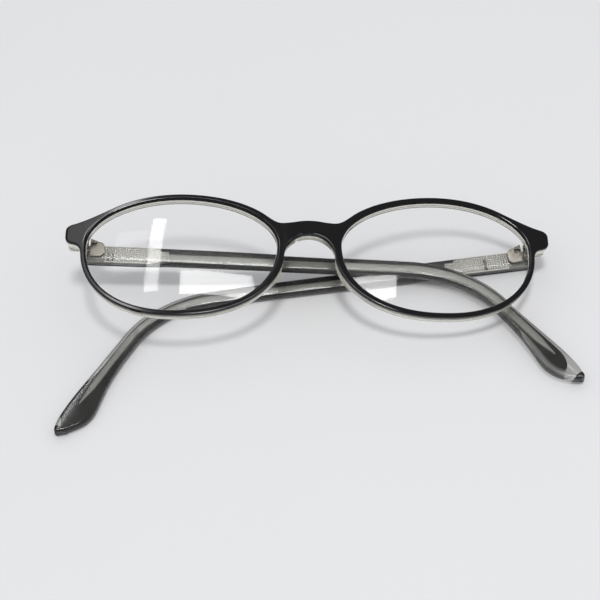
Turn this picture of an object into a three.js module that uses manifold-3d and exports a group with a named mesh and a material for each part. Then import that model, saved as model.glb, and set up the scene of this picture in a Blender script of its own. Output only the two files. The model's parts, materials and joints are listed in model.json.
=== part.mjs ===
// Folded reading glasses: a laminated acetate frame, black in front and clear behind,
// with two oval lenses, two wire-cored arms and two small screwed hinges.
// Millimetres, +Z up. The glasses lie face up on a table, arms folded, top edge to +Y.
// Left and right are the wearer's, so the right arm's hinge is on the -X side.

import * as THREE from 'three';
import { mergeVertices } from 'three/addons/utils/BufferGeometryUtils.js';
import Module from 'manifold-3d';

const wasm = await Module();
wasm.setup();

// Driving dimensions of the front. Its own frame has X across, Y up the face and
// Z out of the face, with the origin on the front face between the two eyes.

// Each lens opening is an egg: four quarter curves that meet on its widest line.
const eye = {
  templeHalf: 24.0, // from the widest point across to the temple side
  noseHalf: 25.5, // and to the nose side
  rise: 13.9, // from the widest line up
  drop: 19.5, // and down
  widestLine: 2.6, // height of the widest line
  lowerRoundness: 2.2, // 2 is an ellipse, more is fuller
  tilt: 1.35, // degrees, temple side up
  steps: 64,
};
const noseGap = 16.7; // between the two lens openings
const eyeCentreX = noseGap / 2 + eye.noseHalf;

const rim = {
  width: 1.6,
  noseFlare: 1.3, // extra width beside the nose
  innerBevel: 0.6, // polished bevel round the black layer's opening
  innerBevelDepth: 0.45,
  edge: 0.3, // rounding of the outer edges
};
const bridge = { top: 9.0, dip: 8.3, dipHalf: 6.6, archTop: 4.7 };
const endpiece = { reach: 5.6, centre: 6.3, height: 5.2, corner: 1.2 };
// The clear layer is thicker behind each endpiece, where the hinge is let in and
// the open arm's end meets it.
const endBlock = { from: 58.5, to: 62.9, low: 4.7, high: 8.8, depth: 2.4, sink: 0.6, corner: 0.6 };
const blackThickness = 1.0;
const crystalThickness = 2.7;
const glueLine = 0.1;
const faceFormRadius = 600; // the front bends back round this radius

// Where the outer edge leaves each rim, and where its nose pad stands, in degrees
// round the opening: 0 is its temple side and 180 its nose side.
const rimTurns = {
  archFoot: -172, belowEndpiece: -12, aboveEndpiece: 47, bridge: 142, padStart: -178, padEnd: -150,
};
const pullShares = { belowEndpiece: 0.45, aboveEndpiece: 0.3, bridge: 0.35 };

const groove = { depth: 0.6, halfWidth: 0.65, behindFace: 2.2 };
const lens = { edgeThickness: 1.6, frontDome: 1.5, backDome: 1.0, clearance: 0.1 };
const lensRingShares = [0.92, 0.7, 0.4];

const nosePad = {
  halfThickness: 0.95,
  depth: 3.4,
  splay: 1.1,
  steps: 8,
};
const padLevelShares = [ // of depth, half thickness and length
  [0, 1, 1], [0.35, 0.97, 0.98], [0.7, 0.82, 0.9], [0.9, 0.58, 0.8], [1, 0.3, 0.66],
];
const padEndShare = 0.2; // thickness left at the two ends

// Driving dimensions of an arm, counted along it from the hinge axis.
const arm = {
  straight: 85.2,
  bendAngle: 52.7, // degrees, down behind the ear
  bendRadius: 28.8,
  tip: 32.8,
  curlAngle: 8.9, // degrees, in towards the head
  curlDelay: 0.2, // from the start of the bend
  curlLength: 15.7,
  ahead: 1.1, // of the hinge axis, up to the end face
  hingeThickness: 3.2,
  thickness: 2.5,
  taperLength: 30.0,
  blackThickness: 0.9,
  hingeHeight: 4.5,
  height: 4.0,
  paddleHeight: 7.4,
  paddleLength: 26.0,
  tipRound: 4.2,
  tipFlat: 1.0, // height left at the very end
  crown: 0.75, // rounding of the outer face, towards its edges
  crystalCorner: 0.5,
  step: 0.5, // between the places worked out along the middle line
};
const paddleShares = { above: 0.35, below: 0.65 }; // of its extra height
const crownShares = [[1, 1], [0.92, 0.6], [0.7, 0.28], [0.38, 0]]; // of half height and crown
const tipRoundShares = [0.45, 0.75, 0.92, 1];
const coreWire = {
  width: 2.0,
  thickness: 0.8,
  clearance: 0.06,
  shortOfTip: 11.0,
  pointLength: 9.0,
  pointWidth: 0.3,
  recess: 0.25, // from the arm's end face
  headEnd: 18.0, // from the hinge axis
  headWidth: 3.7,
  headTaper: 3.5,
};

// The old frame no longer hangs square: the left arm droops more than the right.
const rightArm = { side: -1, droop: 1.6 }; // degrees
const leftArm = { side: 1, droop: 6.9, foldedShort: 3.8 }; // short of parallel to the front
// Where the upper arm first lies over the lower one, and the gap left there.
const armMeeting = { fromRightHinge: 91, fromLeftHinge: 26, gap: 0.2 };

// Driving dimensions of a hinge.
const hinge = {
  height: 6.7, // of its middle, up the face
  rise: 0.4, // of its middle above the arm's
  inset: 0.4, // arm's outer face from the endpiece's side
  axisProud: 1.2, // of the arm's inner face
  standoff: 4.0, // axis behind the front's back face
  knuckleRadius: 0.95,
  knuckleHeight: 1.25,
  knuckleGap: 0.08,
  screwRadius: 0.4,
  screwClearance: 0.06,
  leafLength: 5.1,
  leafBelow: 2.1, // of the arm's plate below the hinge's middle
  leafAbove: 3.0, // and above it, at the root
  leafShoulder: 2.0, // and above it, where the sloping top meets the round end
  leafEndRadius: 1.3,
  leafThickness: 0.65,
  leafLift: 0.05,
  leafStart: 1.3,
  webThickness: 0.55,
  slotLength: 1.6,
  slotWidth: 1.2,
  slotPlace: 2.3, // middle of the slot from the axis
  slotHeight: 1.2, // and above the hinge's middle
  rootStart: 0.3, // front leaf's plate, from the axis outwards
  rootLength: 3.0,
  rootWidth: 3.2,
  rootThickness: 1.0,
  rootProud: 0.3, // of the end block's back face
  webSink: 0.15, // of a knuckle's web into the plate
  pocketClearance: 0.08,
};
const screw = {
  headRadius: 0.85,
  headHeight: 0.45,
  headEdge: 0.27, // upright edge of the head
  headTopRadius: 0.6,
  slotWidth: 0.25,
  slotDepth: 0.2,
  gap: 0.06,
};
const roundSteps = 20;

// How the folded glasses lie on the table.
const restPitch = 11.54; // degrees, top of the front up
const restRoll = 4.745; // degrees, wearer's right side up

const frontThickness = blackThickness + glueLine + crystalThickness;
const frontHalfWidth = eyeCentreX + eye.templeHalf + endpiece.reach;
const axisX = frontHalfWidth - hinge.inset - arm.hingeThickness - hinge.axisProud;
const axisZ = faceForm(axisX) - frontThickness - hinge.standoff;
const blockBack = faceForm(axisX) - frontThickness - endBlock.depth;
const rootBack = blockBack - hinge.rootProud;
const overrun = arm.hingeThickness; // how far a cutting tool runs past what it cuts

const blackAcetate = new THREE.MeshStandardMaterial({ color: 0x101113, roughness: 0.12, metalness: 0 });
const crystalAcetate = new THREE.MeshStandardMaterial({
  color: 0xdedbcb, roughness: 0.1, metalness: 0, transparent: true, opacity: 0.5,
});
const lensPlastic = new THREE.MeshStandardMaterial({
  color: 0xf4f6f6, roughness: 0.03, metalness: 0, transparent: true, opacity: 0.25,
});
const hingeMetal = new THREE.MeshStandardMaterial({ color: 0xb9b5a6, roughness: 0.35, metalness: 1 });
const coreMetal = new THREE.MeshStandardMaterial({ color: 0xa9a595, roughness: 0.45, metalness: 1 });
const screwMetal = new THREE.MeshStandardMaterial({ color: 0xc8c6be, roughness: 0.25, metalness: 1 });

function radians(degrees) {
  return THREE.MathUtils.degToRad(degrees);
}

// Values from one number to another in even steps, both ends counted.
function evenly(from, to, steps) {
  return Array.from({ length: steps + 1 }, (_, i) => from + ((to - from) * i) / steps);
}

// How far the bent front's face lies back at a distance from its middle.
function faceForm(x) {
  return Math.sqrt(faceFormRadius ** 2 - x ** 2) - faceFormRadius;
}

// A closed surface made of rings of points: walls join rings and caps close them.
class Skin {
  points = [];
  faces = [];

  ring(points) {
    const first = this.points.length;
    this.points.push(...points);
    return points.map((point, i) => first + i);
  }

  // A ring runs anticlockwise seen from where the rings start.
  wall(near, far) {
    near.forEach((a, i) => {
      const next = (i + 1) % near.length;
      this.faces.push([a, far[i], far[next]], [a, far[next], near[next]]);
    });
  }

  walls(rings) {
    rings.slice(1).forEach((ring, i) => this.wall(rings[i], ring));
  }

  // Closes an outline that may have holes; flat holds the same points on a plane.
  cap(outline, holes, flat, reversed) {
    const indices = [...outline, ...holes.flat()];
    const contour = flat.slice(0, outline.length);
    const openings = [];
    let start = outline.length;
    for (const hole of holes) {
      openings.push(flat.slice(start, start + hole.length));
      start += hole.length;
    }
    for (const [a, b, c] of THREE.ShapeUtils.triangulateShape(contour, openings)) {
      const face = [indices[a], indices[b], indices[c]];
      this.faces.push(reversed ? face.reverse() : face);
    }
  }

  fan(ring, apex, reversed) {
    const [tip] = this.ring([apex]);
    ring.forEach((a, i) => {
      const b = ring[(i + 1) % ring.length];
      this.faces.push(reversed ? [b, a, tip] : [a, b, tip]);
    });
  }

  // A mirrored copy keeps its faces pointing out.
  geometry(side = 1) {
    const geometry = new THREE.BufferGeometry();
    const positions = this.points.flatMap((p) => [p.x * side, p.y, p.z]);
    const faces = side < 0 ? this.faces.map(([a, b, c]) => [a, c, b]) : this.faces;
    geometry.setAttribute('position', new THREE.Float32BufferAttribute(positions, 3));
    geometry.setIndex(faces.flat());
    geometry.computeVertexNormals();
    return geometry;
  }
}

function toSolid(geometry) {
  const bare = geometry.clone();
  bare.deleteAttribute('normal');
  bare.deleteAttribute('uv');
  const merged = mergeVertices(bare);
  return new wasm.Manifold(new wasm.Mesh({
    numProp: 3,
    vertProperties: new Float32Array(merged.attributes.position.array),
    triVerts: new Uint32Array(merged.index.array),
  }));
}

function toGeometry(solid) {
  const mesh = solid.getMesh();
  const geometry = new THREE.BufferGeometry();
  geometry.setAttribute('position', new THREE.BufferAttribute(new Float32Array(mesh.vertProperties), 3));
  geometry.setIndex(new THREE.BufferAttribute(new Uint32Array(mesh.triVerts), 1));
  geometry.computeVertexNormals();
  return geometry;
}

function cut(geometry, ...tools) {
  return toGeometry(tools.reduce((solid, tool) => solid.subtract(toSolid(tool)), toSolid(geometry)));
}

function join(geometry, ...others) {
  return toGeometry(others.reduce((solid, other) => solid.add(toSolid(other)), toSolid(geometry)));
}

// The lens opening, on the +X side

function eyePoint(angle) {
  const across = Math.cos(angle);
  const up = Math.sin(angle);
  const power = up < 0 ? 2 / eye.lowerRoundness : 1;
  const swell = (share) => Math.sign(share) * Math.abs(share) ** power;
  const x = swell(across) * (across > 0 ? eye.templeHalf : eye.noseHalf);
  const y = swell(up) * (up > 0 ? eye.rise : eye.drop);
  const point = new THREE.Vector2(x, y).rotateAround(new THREE.Vector2(), radians(eye.tilt));
  return point.add(new THREE.Vector2(eyeCentreX, eye.widestLine));
}

// A point beside the opening's edge, offset outwards along the normal there.
function besideEye(angle, offset) {
  const step = Math.PI / 1000;
  const along = eyePoint(angle + step).sub(eyePoint(angle - step)).normalize();
  return eyePoint(angle).add(new THREE.Vector2(along.y, -along.x).multiplyScalar(offset));
}

function eyeRing(offset) {
  return evenly(0, 2 * Math.PI, eye.steps).slice(1).map((angle) => besideEye(angle, offset));
}

// Width of the rim round the opening: it flares out beside the nose.
function rimWidth(angle) {
  return rim.width + rim.noseFlare * Math.max(0, -Math.cos(angle)) ** 2;
}

function rimPoint(degrees) {
  const angle = radians(degrees);
  return besideEye(angle, rimWidth(angle));
}

// A curve that leaves one run of points and enters the next along their directions.
function blend(before, after, pull, steps) {
  const start = before.at(-1);
  const end = after[0];
  const reach = start.distanceTo(end) * pull;
  const leave = start.clone().sub(before.at(-2)).setLength(reach);
  const enter = end.clone().sub(after[1]).setLength(reach);
  const curve = new THREE.CubicBezierCurve(start, start.clone().add(leave), end.clone().add(enter), end);
  return curve.getPoints(steps).slice(1, -1);
}

// Outer edge of the front's +X half, from the top of the nose arch round to the
// middle of the bridge's top edge.
function halfOutline() {
  const foot = rimPoint(rimTurns.archFoot);
  const arch = new THREE.EllipseCurve(0, foot.y, foot.x, bridge.archTop - foot.y, Math.PI / 2, 0, true)
    .getPoints(8)
    .slice(0, -1);
  const lowerRim = evenly(rimTurns.archFoot, rimTurns.belowEndpiece, 34).map(rimPoint);
  const upperRim = evenly(rimTurns.aboveEndpiece, rimTurns.bridge, 20).map(rimPoint);

  const side = frontHalfWidth;
  const low = endpiece.centre - endpiece.height / 2;
  const high = endpiece.centre + endpiece.height / 2;
  const corner = endpiece.corner;
  const lowerCorner = new THREE.QuadraticBezierCurve(
    new THREE.Vector2(side - corner, low), new THREE.Vector2(side, low + corner / 4),
    new THREE.Vector2(side, low + corner),
  ).getPoints(4);
  const upperCorner = new THREE.QuadraticBezierCurve(
    new THREE.Vector2(side, high - corner), new THREE.Vector2(side, high - corner / 4),
    new THREE.Vector2(side - corner, high),
  ).getPoints(4);

  const dip = [new THREE.Vector2(bridge.dipHalf, bridge.dip), new THREE.Vector2(0, bridge.dip)];
  const crown = new THREE.CubicBezierCurve(
    dip[0], new THREE.Vector2(bridge.dipHalf / 2, bridge.dip),
    new THREE.Vector2(bridge.dipHalf / 2, bridge.top), new THREE.Vector2(0, bridge.top),
  ).getPoints(6);

  return [
    ...arch, ...lowerRim,
    ...blend(lowerRim, lowerCorner, pullShares.belowEndpiece, 6), ...lowerCorner,
    ...upperCorner, ...blend(upperCorner, upperRim, pullShares.aboveEndpiece, 6),
    ...upperRim, ...blend(upperRim, dip, pullShares.bridge, 6), ...crown,
  ];
}

// The whole front's outer edge, anticlockwise, drawn in by an inset.
function frontOutline(inset) {
  const half = halfOutline();
  const mirrored = half.slice(1, -1).reverse().map((p) => new THREE.Vector2(-p.x, p.y));
  const outline = [...half, ...mirrored];
  return outline.map((point, i) => {
    const along = outline[(i + 1) % outline.length].clone().sub(outline.at(i - 1)).normalize();
    return point.clone().add(new THREE.Vector2(-along.y, along.x).multiplyScalar(inset));
  });
}

function placeOnFace(flat, z) {
  return flat.map((p) => new THREE.Vector3(p.x, p.y, z + faceForm(p.x)));
}

// One layer of the front. Each level is [inset or offset, height]; the outer
// levels run down the outside and the opening levels down inside each eye.
function frontLayer(outerLevels, openingLevels) {
  const skin = new Skin();
  const outer = outerLevels.map(([inset, z]) => skin.ring(placeOnFace(frontOutline(inset), z)));
  skin.walls(outer);
  const openings = [1, -1].map((side) => openingLevels.map(([offset, z]) => {
    const ring = eyeRing(offset).map((p) => new THREE.Vector2(p.x * side, p.y));
    return skin.ring(placeOnFace(side > 0 ? ring.reverse() : ring, z));
  }));
  openings.forEach((rings) => skin.walls(rings));
  [0, -1].forEach((level) => {
    const outline = outer.at(level);
    const holes = openings.map((rings) => rings.at(level));
    const flat = [outline, ...holes].flat().map((i) => new THREE.Vector2(skin.points[i].x, skin.points[i].y));
    skin.cap(outline, holes, flat, level < 0);
  });
  return skin.geometry();
}

function blackLayer() {
  const back = -blackThickness;
  return frontLayer(
    [[rim.edge, 0], [0, -rim.edge], [0, back]],
    [[rim.innerBevel, 0], [0, -rim.innerBevelDepth], [0, back]],
  );
}

function crystalLayer() {
  const front = -blackThickness - glueLine;
  const back = -frontThickness;
  const middle = -groove.behindFace;
  const layer = frontLayer(
    [[0, front], [0, back + rim.edge], [rim.edge, back]],
    [
      [0, front],
      [0, middle + groove.halfWidth],
      [groove.depth, middle],
      [0, middle - groove.halfWidth],
      [0, back + rim.edge],
      [rim.edge, back],
    ],
  );
  const thickened = join(layer, endBlockGeometry(1), endBlockGeometry(-1));
  return cut(thickened, ...[1, -1].map((side) => hingeRoot(side, hinge.pocketClearance, overrun)));
}

function endBlockGeometry(side) {
  const { from, to, low, high, depth, sink, corner: turn } = endBlock;
  const outline = new THREE.Shape();
  outline.moveTo(from, low);
  outline.lineTo(to - turn, low);
  outline.absarc(to - turn, low + turn, turn, -Math.PI / 2, 0, false);
  outline.absarc(to - turn, high - turn, turn, 0, Math.PI / 2, false);
  outline.lineTo(from, high);
  outline.closePath();
  const block = new THREE.ExtrudeGeometry(outline, {
    depth: depth + sink, bevelEnabled: false, curveSegments: 4,
  });
  block.translate(0, 0, blockBack);
  return side > 0 ? block : mirrorX(indexed(block));
}

function indexed(geometry) {
  geometry.deleteAttribute('normal');
  geometry.deleteAttribute('uv');
  return mergeVertices(geometry);
}

// Lenses: a domed meniscus with a bevel round its edge that sits in the groove.

function lensGeometry(side) {
  const skin = new Skin();
  const half = lens.edgeThickness / 2;
  const centre = new THREE.Vector2(eyeCentreX, eye.widestLine);
  const level = (share, z, dome) => {
    const flat = eyeRing(-lens.clearance).map((p) => p.sub(centre).multiplyScalar(share).add(centre));
    return placeOnFace(flat, -groove.behindFace + z + dome * (1 - share ** 2));
  };
  const apexOffset = groove.depth - lens.clearance;
  const bevelHalf = groove.halfWidth - lens.clearance;
  const lip = eyeRing(-lens.clearance);
  const apex = placeOnFace(eyeRing(apexOffset), -groove.behindFace);
  const frontRings = [...lensRingShares].reverse().map((share) => level(share, half, lens.frontDome));
  const backRings = lensRingShares.map((share) => level(share, -half, lens.backDome));
  const rings = [
    ...frontRings,
    placeOnFace(lip, -groove.behindFace + half),
    placeOnFace(lip, -groove.behindFace + bevelHalf),
    apex,
    placeOnFace(lip, -groove.behindFace - bevelHalf),
    placeOnFace(lip, -groove.behindFace - half),
    ...backRings,
  ].map((points) => skin.ring(points));
  skin.walls(rings);
  const [front] = placeOnFace([centre], -groove.behindFace + half + lens.frontDome);
  const [back] = placeOnFace([centre], -groove.behindFace - half + lens.backDome);
  skin.fan(rings[0], front, false);
  skin.fan(rings.at(-1), back, true);
  return skin.geometry(side);
}

// Nose pads: short clear fins behind the nose side of each rim, splayed and rounded.

function nosePadGeometry(side) {
  const skin = new Skin();
  const rings = padLevelShares.map(([depthShare, thicknessShare, lengthShare]) => {
    const near = [];
    const far = [];
    for (const along of evenly(-1, 1, nosePad.steps)) {
      const place = (1 + along * lengthShare) / 2;
      const angle = radians(THREE.MathUtils.lerp(rimTurns.padStart, rimTurns.padEnd, place));
      const endShare = Math.max(Math.sqrt(1 - along ** 2), padEndShare);
      const half = nosePad.halfThickness * thicknessShare * endShare;
      const middle = rimWidth(angle) / 2 - nosePad.splay * depthShare;
      near.push(besideEye(angle, middle - half));
      far.push(besideEye(angle, middle + half));
    }
    const z = -frontThickness - glueLine - nosePad.depth * depthShare;
    return skin.ring(placeOnFace([...near, ...far.reverse()].reverse(), z));
  });
  skin.walls(rings);
  [0, -1].forEach((level) => {
    const ring = rings.at(level);
    const flat = ring.map((i) => new THREE.Vector2(skin.points[i].x, skin.points[i].y));
    skin.cap(ring, [], flat, level < 0);
  });
  return skin.geometry(side);
}

// Arms. An arm's own frame has X along it from the hinge axis, Y up and Z to its
// inner side. Distances along it are counted from the hinge axis.

const bendLength = arm.bendRadius * radians(arm.bendAngle);
const curlStart = arm.straight + arm.curlDelay;
const armLength = arm.straight + bendLength + arm.tip;

// Straight, bent down over the ear and curled in: the middle line's place and
// direction, found by small steps along it.
const armPath = [];

function turnAt(distance) {
  const bend = THREE.MathUtils.clamp((distance - arm.straight) / bendLength, 0, 1);
  const curl = THREE.MathUtils.clamp((distance - curlStart) / arm.curlLength, 0, 1);
  return [radians(arm.bendAngle) * bend, radians(arm.curlAngle) * curl];
}

function directionAt(distance) {
  const [bend, curl] = turnAt(distance);
  const level = Math.cos(curl);
  return new THREE.Vector3(Math.cos(bend) * level, -Math.sin(bend) * level, Math.sin(curl));
}

function armPoint(distance) {
  if (distance <= 0) {
    return new THREE.Vector3(distance, 0, 0);
  }
  if (armPath.length === 0) {
    const point = new THREE.Vector3();
    armPath.push(point.clone());
    for (let at = arm.step / 2; at < armLength + arm.step; at += arm.step) {
      armPath.push(point.addScaledVector(directionAt(at), arm.step).clone());
    }
  }
  const place = distance / arm.step;
  const index = Math.min(Math.floor(place), armPath.length - 2);
  return armPath[index].clone().lerp(armPath[index + 1], place - index);
}

// Eases from 0 to 1 over a stretch.
function ease(distance, start, length) {
  return THREE.MathUtils.smoothstep(distance, start, start + length);
}

// Half heights above and below the middle line, and the thickness, along the arm.
function armSize(distance) {
  const taper = THREE.MathUtils.clamp(distance / arm.taperLength, 0, 1);
  const shaft = THREE.MathUtils.lerp(arm.hingeHeight, arm.height, taper) / 2;
  const paddleStart = armLength - arm.paddleLength;
  const widening = ease(distance, paddleStart, arm.paddleLength - arm.tipRound);
  const swell = widening * (arm.paddleHeight - arm.height);
  const fromEnd = Math.min((armLength - distance) / arm.tipRound, 1);
  const round = Math.max(Math.sqrt(1 - (1 - fromEnd) ** 2), arm.tipFlat / arm.paddleHeight);
  return {
    above: (shaft + swell * paddleShares.above) * round,
    below: (shaft + swell * paddleShares.below) * round,
    thickness: THREE.MathUtils.lerp(arm.hingeThickness, arm.thickness, taper),
  };
}

// A section's points [height, depth] set square to the arm. The inner face stays
// straight as the arm thins; the end face by the hinge is cut upright for the droop.
function sectionAt(distance, points, droop) {
  const forward = directionAt(distance);
  const [bend] = turnAt(distance);
  const up = new THREE.Vector3(Math.sin(bend), Math.cos(bend), 0);
  const inward = new THREE.Vector3().crossVectors(forward, up);
  const origin = armPoint(distance).add(new THREE.Vector3(0, -hinge.rise, -hinge.axisProud));
  return points.map(([height, depth]) => {
    const point = origin.clone().addScaledVector(up, height).addScaledVector(inward, depth);
    if (distance <= 0) {
      point.x -= height * Math.tan(radians(droop));
    }
    return point;
  });
}

// Places of the sections: few along the straight, closer round the bends.
function armStations() {
  const startRound = armLength - arm.tipRound;
  return [
    -arm.ahead,
    ...evenly(0, arm.taperLength, 2).slice(1),
    ...evenly(arm.straight, arm.straight + bendLength, 10),
    ...evenly(arm.straight + bendLength, startRound, 5).slice(1),
    ...tipRoundShares.map((share) => startRound + arm.tipRound * share),
  ];
}

// Quarter-round corner of a section, from the side face to the outer or inner face.
function corner(radius, steps) {
  return Array.from({ length: steps + 1 }, (_, i) => {
    const angle = (Math.PI / 2) * (i / steps);
    return [radius * (1 - Math.cos(angle)), radius * (1 - Math.sin(angle))];
  });
}

function blackSection({ above, below, thickness }) {
  const joint = arm.blackThickness - thickness;
  const rim = (half) => crownShares.map(([across, deep]) => [half * across, deep * arm.crown - thickness]);
  return [[-below, joint], [above, joint], ...rim(above), ...rim(-below).reverse()];
}

function crystalSection({ above, below, thickness }) {
  const joint = arm.blackThickness + glueLine - thickness;
  const radius = Math.min(arm.crystalCorner, above, below);
  const turn = corner(radius, 2);
  return [
    [above, joint],
    [-below, joint],
    ...turn.map(([a, b]) => [-below + a, -b]),
    ...[...turn].reverse().map(([a, b]) => [above - a, -b]),
  ];
}

// Depth of the core wire's middle inside the clear layer.
function wireDepth(distance) {
  const { thickness } = armSize(distance);
  return (arm.blackThickness + glueLine - thickness) / 2;
}

const wireEnd = armLength - coreWire.shortOfTip;
const wirePointStart = wireEnd - coreWire.pointLength;
const headTaperEnd = coreWire.headEnd + coreWire.headTaper;

// Half width of the core: a broad head by the hinge, then a strip, then a point.
function wireHalfWidth(distance) {
  const head = 1 - ease(distance, coreWire.headEnd, coreWire.headTaper);
  const strip = THREE.MathUtils.lerp(coreWire.width, coreWire.headWidth, head) / 2;
  const point = THREE.MathUtils.clamp((wireEnd - distance) / coreWire.pointLength, 0, 1);
  return THREE.MathUtils.lerp(coreWire.pointWidth / 2, strip, point);
}

function wireStations() {
  return [
    -arm.ahead + coreWire.recess,
    coreWire.headEnd, (coreWire.headEnd + headTaperEnd) / 2, headTaperEnd,
    ...armStations().filter((at) => at > headTaperEnd + coreWire.headTaper / 2 && at < wirePointStart),
    wirePointStart, (wirePointStart + wireEnd) / 2, wireEnd,
  ];
}

function wireSection(distance, extra) {
  const half = wireHalfWidth(distance) + extra;
  const thick = coreWire.thickness / 2 + extra;
  const chamfer = Math.min(half, thick) / 2;
  const middle = wireDepth(distance);
  return [
    [half - chamfer, middle - thick], [-half + chamfer, middle - thick],
    [-half, middle - thick + chamfer], [-half, middle + thick - chamfer],
    [-half + chamfer, middle + thick], [half - chamfer, middle + thick],
    [half, middle + thick - chamfer], [half, middle - thick + chamfer],
  ];
}

// Lofts sections along the arm and closes both ends. An inner loft is a blind
// channel that opens at the hinge end.
function armLoft(stations, section, droop, side, inner) {
  const skin = new Skin();
  const flat = (points) => points.map(([height, depth]) => new THREE.Vector2(depth, height));
  const loft = (places, shape) => places.map((at) => skin.ring(sectionAt(at, shape(at), droop)));
  const rings = loft(stations, section);
  skin.walls(rings);
  const last = section(stations.at(-1));
  skin.cap(rings.at(-1), [], flat(last), true);
  if (inner) {
    const shape = (at) => [...inner.section(at)].reverse();
    const channel = loft(inner.stations, shape);
    skin.walls(channel);
    skin.cap(channel.at(-1), [], flat(shape(inner.stations.at(-1))), false);
    const mouth = [...flat(section(stations[0])), ...flat(shape(inner.stations[0]))];
    skin.cap(rings[0], [channel[0]], mouth, false);
  } else {
    skin.cap(rings[0], [], flat(section(stations[0])), false);
  }
  return skin.geometry(side);
}

function armBlack({ droop, side }) {
  return armLoft(armStations(), (at) => blackSection(armSize(at)), droop, -side);
}

function armCrystal({ droop, side }) {
  const channel = {
    stations: [-arm.ahead, ...wireStations().slice(1, -1), wireEnd + coreWire.clearance],
    section: (at) => wireSection(at, coreWire.clearance),
  };
  return armLoft(armStations(), (at) => crystalSection(armSize(at)), droop, -side, channel);
}

function armWire({ droop, side }) {
  return armLoft(wireStations(), (at) => wireSection(at, 0), droop, -side);
}

// Hinges. Their frame is the front's, shifted to the hinge axis; a leaf's knuckles
// stand along Y. The outer two knuckles are the front's and the middle one is the arm's.

const knucklePitch = hinge.knuckleHeight + hinge.knuckleGap;

function axisPlace(side) {
  return new THREE.Vector3(side * axisX, hinge.height, axisZ);
}

// A knuckle with a web that runs from it along +Z, rounded at the axis and bored.
function knuckle(middle, web, bored) {
  const radius = hinge.knuckleRadius;
  const shape = new THREE.Shape();
  if (web > 0) {
    shape.moveTo(radius, web);
    shape.lineTo(-radius, web);
    shape.absarc(0, 0, radius, Math.PI, 2 * Math.PI, false);
  } else {
    shape.absarc(0, 0, radius, 0, 2 * Math.PI, false);
  }
  if (bored) {
    const bore = new THREE.Path();
    bore.absarc(0, 0, hinge.screwRadius + hinge.screwClearance, 0, 2 * Math.PI, true);
    shape.holes.push(bore);
  }
  const geometry = new THREE.ExtrudeGeometry(shape, {
    depth: hinge.knuckleHeight, bevelEnabled: false, curveSegments: roundSteps,
  });
  geometry.translate(0, 0, -hinge.knuckleHeight / 2);
  geometry.rotateX(Math.PI / 2);
  geometry.translate(0, middle, 0);
  return geometry;
}

// The plate sunk in the front's back, in the front's frame. Grown by a clearance
// and run out backwards, it also cuts its own pocket.
function hingeRoot(side, clearance, runOut) {
  const depth = hinge.rootThickness + clearance + runOut;
  const root = new THREE.BoxGeometry(
    hinge.rootLength + 2 * clearance, hinge.rootWidth + 2 * clearance, depth,
  );
  const x = axisX + hinge.rootStart + hinge.rootLength / 2;
  const z = rootBack + hinge.rootThickness + clearance - depth / 2;
  root.translate(side * x, hinge.height, z);
  return root;
}

function frontLeaf(side) {
  const place = axisPlace(side);
  const root = hingeRoot(side, 0, 0);
  const web = rootBack - axisZ + hinge.webSink;
  const knuckles = [-1, 1].map((end) => {
    const geometry = knuckle(end * knucklePitch, web, true);
    return geometry.translate(place.x, place.y, place.z);
  });
  return join(root, ...knuckles);
}

// In the arm's fold frame: X along the folded arm, origin on the axis. The plate
// droops with the arm and lies on its inner face.
function armLeaf({ droop, side }) {
  const bottom = -hinge.axisProud + hinge.leafLift;
  const radius = hinge.leafEndRadius;
  const roundFrom = hinge.leafLength - radius;
  const outline = new THREE.Shape();
  outline.moveTo(hinge.leafStart, -hinge.leafBelow);
  outline.lineTo(roundFrom, -hinge.leafBelow);
  outline.absarc(roundFrom, -hinge.leafBelow + radius, radius, -Math.PI / 2, 0, false);
  outline.absarc(roundFrom, hinge.leafShoulder - radius, radius, 0, Math.PI / 2, false);
  outline.lineTo(hinge.leafStart, hinge.leafAbove);
  outline.closePath();
  const slot = new THREE.Path();
  const halfLength = hinge.slotLength / 2;
  const slotLow = hinge.slotHeight - hinge.slotWidth / 2;
  const slotHigh = hinge.slotHeight + hinge.slotWidth / 2;
  slot.moveTo(hinge.slotPlace - halfLength, slotLow);
  slot.lineTo(hinge.slotPlace - halfLength, slotHigh);
  slot.lineTo(hinge.slotPlace + halfLength, slotHigh);
  slot.lineTo(hinge.slotPlace + halfLength, slotLow);
  slot.closePath();
  outline.holes.push(slot);
  const plate = new THREE.ExtrudeGeometry(outline, {
    depth: hinge.leafThickness, bevelEnabled: false, curveSegments: roundSteps / 2,
  });
  plate.translate(0, 0, bottom);
  plate.rotateZ(-radians(droop));

  const ear = knuckle(0, 0, true);
  const webLength = hinge.leafStart + hinge.knuckleRadius / 2;
  const web = new THREE.BoxGeometry(webLength, hinge.knuckleHeight, hinge.webThickness);
  web.translate(webLength / 2 + hinge.screwRadius, 0, bottom + hinge.leafThickness / 2);
  const bore = new THREE.CylinderGeometry(
    hinge.screwRadius + hinge.screwClearance, hinge.screwRadius + hinge.screwClearance,
    overrun * 2, roundSteps,
  );
  const leaf = cut(join(ear, web, plate), bore);
  return side > 0 ? mirrorX(leaf) : leaf;
}

function mirrorX(geometry) {
  const mirrored = geometry.clone().scale(-1, 1, 1);
  const { array } = mirrored.index;
  for (let i = 0; i < array.length; i += 3) {
    [array[i + 1], array[i + 2]] = [array[i + 2], array[i + 1]];
  }
  return mirrored;
}

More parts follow.
